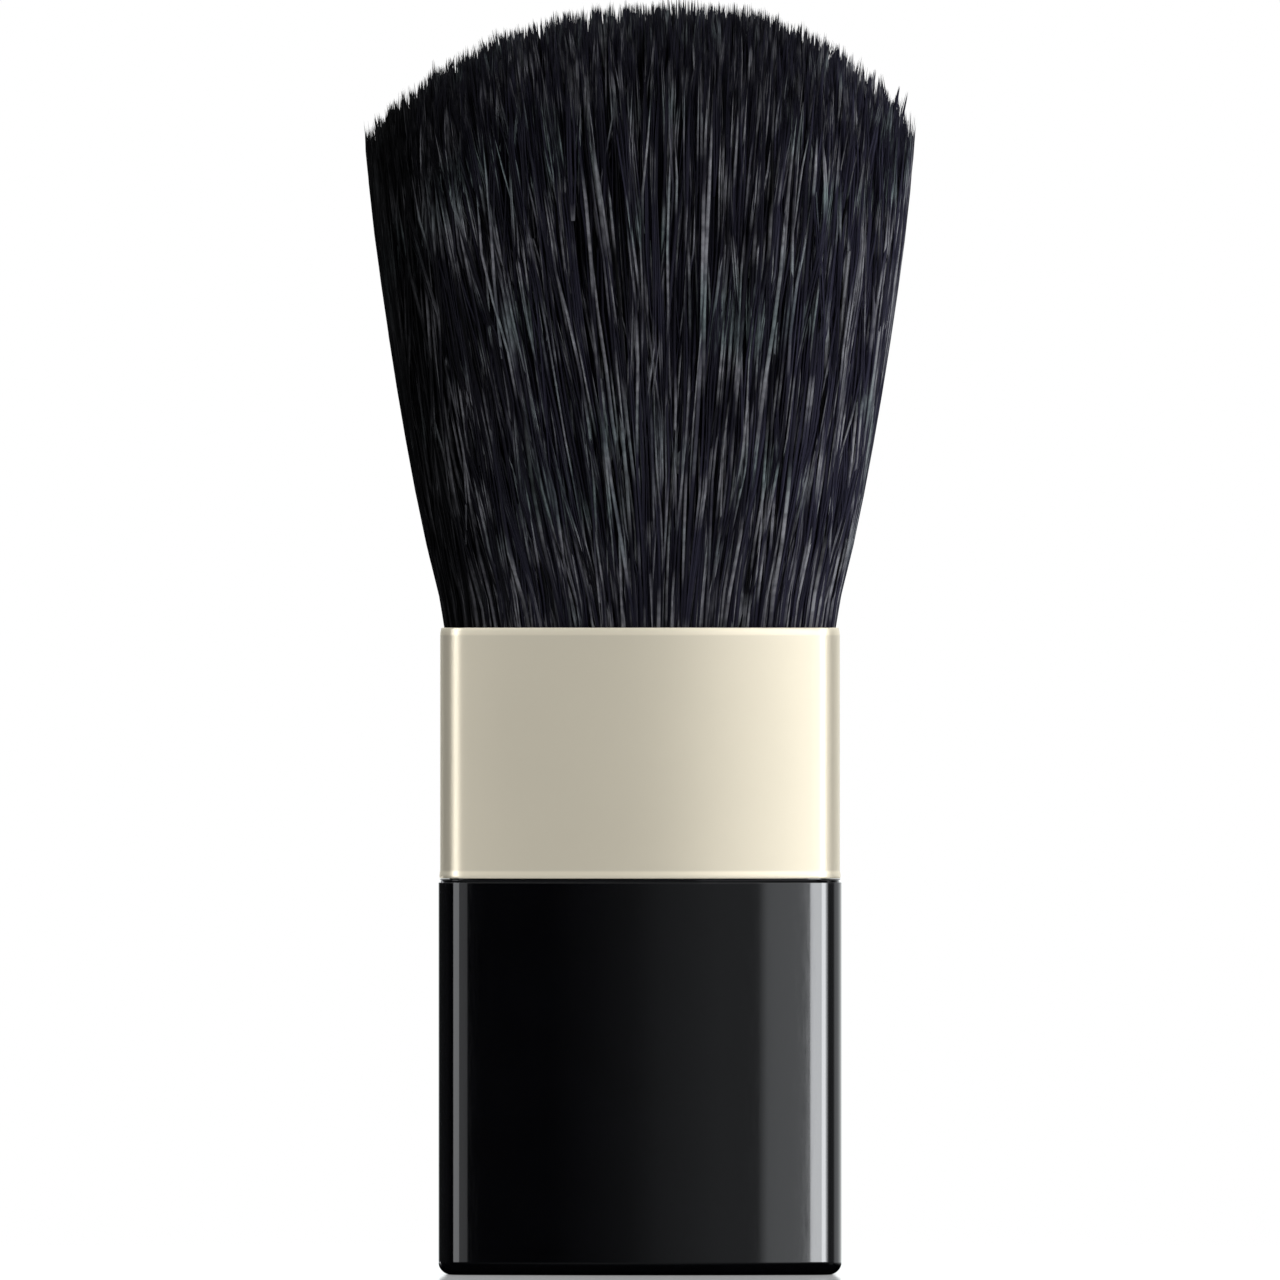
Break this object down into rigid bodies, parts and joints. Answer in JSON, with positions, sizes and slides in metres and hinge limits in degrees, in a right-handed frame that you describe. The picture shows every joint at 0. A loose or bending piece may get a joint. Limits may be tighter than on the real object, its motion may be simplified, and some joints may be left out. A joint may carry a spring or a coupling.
{
  "type": "blush brush",
  "caption": "Compact flat brush with a rounded block handle, a metal ferrule and a fanned, domed head of black hair for powder.",
  "frame": {"origin": "centre of the flat base that the brush stands on", "axes": "+Z from the base to the tips of the hair, +X across the width, -Y out of the front face"},
  "size_m": [0.0304, 0.0152, 0.0699],
  "materials": {
    "gloss_black_plastic": "polished",
    "champagne_metal": "satin anodised",
    "black_hair": "soft hair with a slight sheen",
    "cured_adhesive": "as cured",
    "cured_resin": "as cured",
    "waxed_thread": "waxed"
  },
  "bodies": {
    "root": {"handle_body": "gloss_black_plastic", "ferrule": "champagne_metal", "hair_bundle": "black_hair", "neck_adhesive": "cured_adhesive", "root_resin": "cured_resin", "binding_thread": "waxed_thread"}
  },
  "joints": []
}
